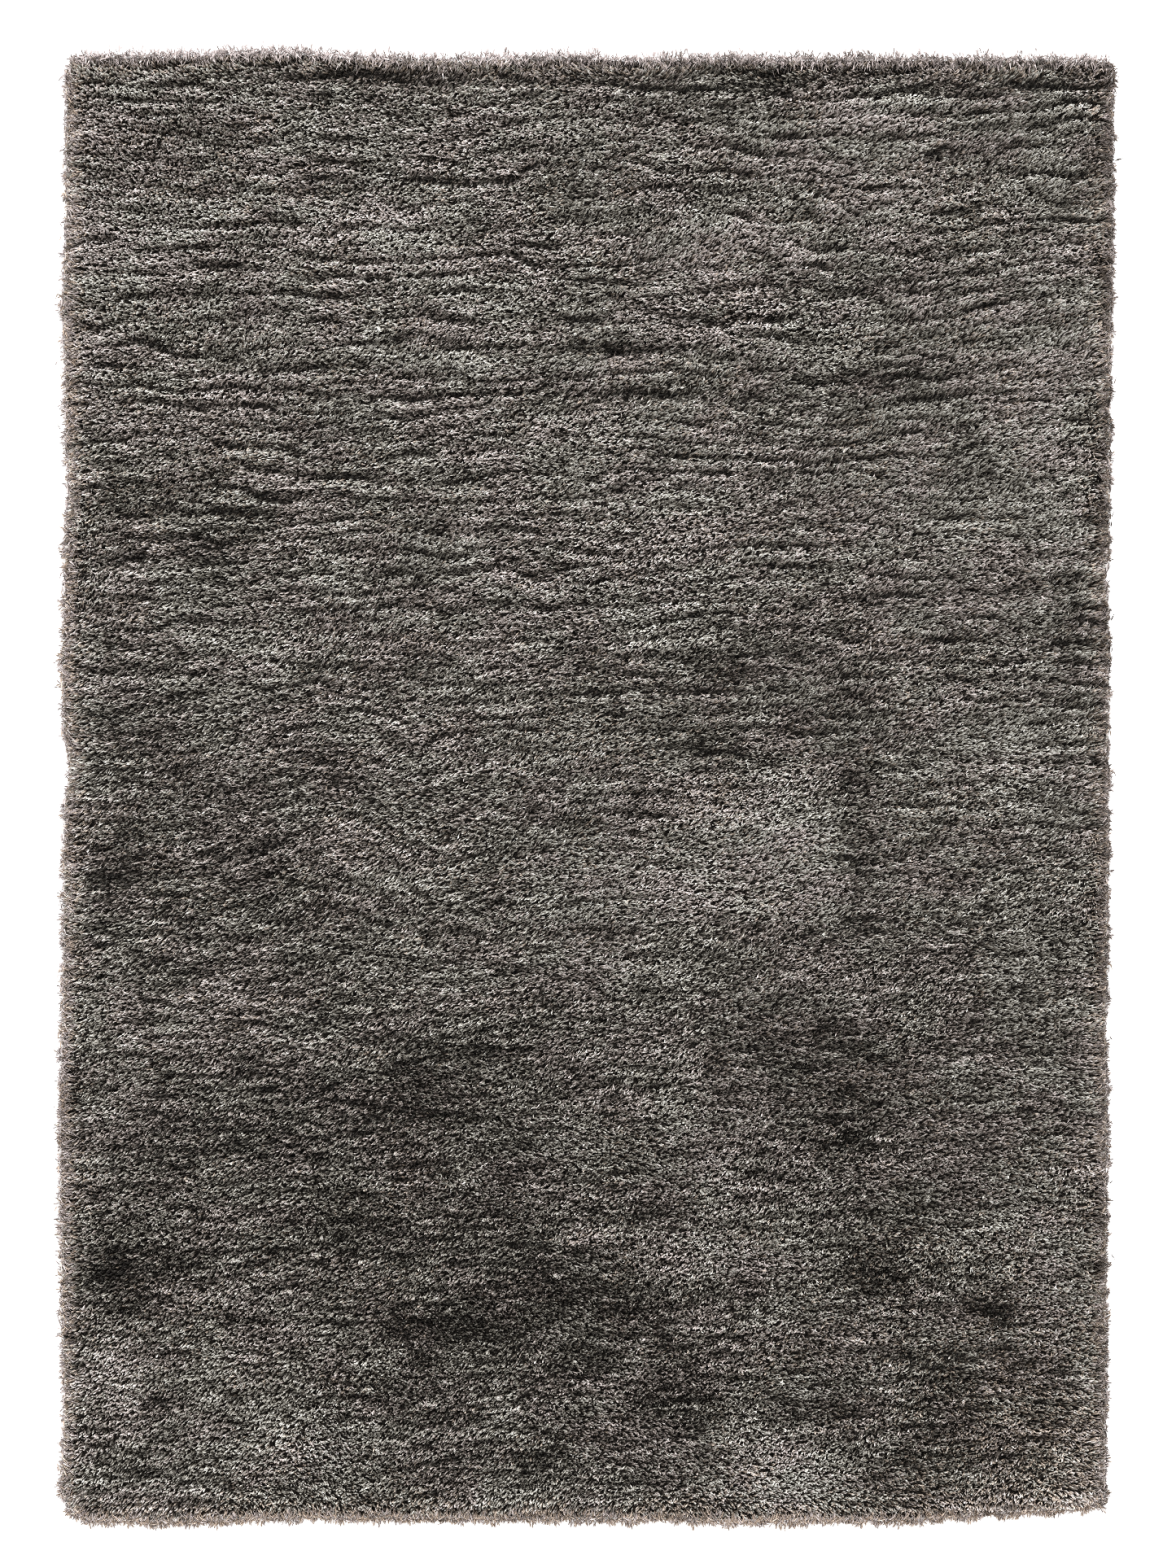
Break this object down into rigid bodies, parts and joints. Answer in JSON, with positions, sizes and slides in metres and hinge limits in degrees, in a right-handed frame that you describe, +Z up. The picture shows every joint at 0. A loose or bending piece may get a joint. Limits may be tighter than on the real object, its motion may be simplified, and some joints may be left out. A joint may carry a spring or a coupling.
{
  "type": "shag rug",
  "caption": "Flat rectangular floor rug with a deep, soft, combed pile of grey yarn that overhangs its ground on all sides.",
  "frame": {"origin": "middle of the underside, on the floor that the rug lies on", "axes": "+Z up out of the pile, +Y along the rug's length, +X across its width"},
  "size_m": [1.7852, 2.494, 0.0382],
  "materials": {
    "pile_yarn": "deep matt pile of twisted synthetic yarn, warm grey"
  },
  "bodies": {
    "root": {"shag_rug": "pile_yarn"}
  },
  "joints": []
}
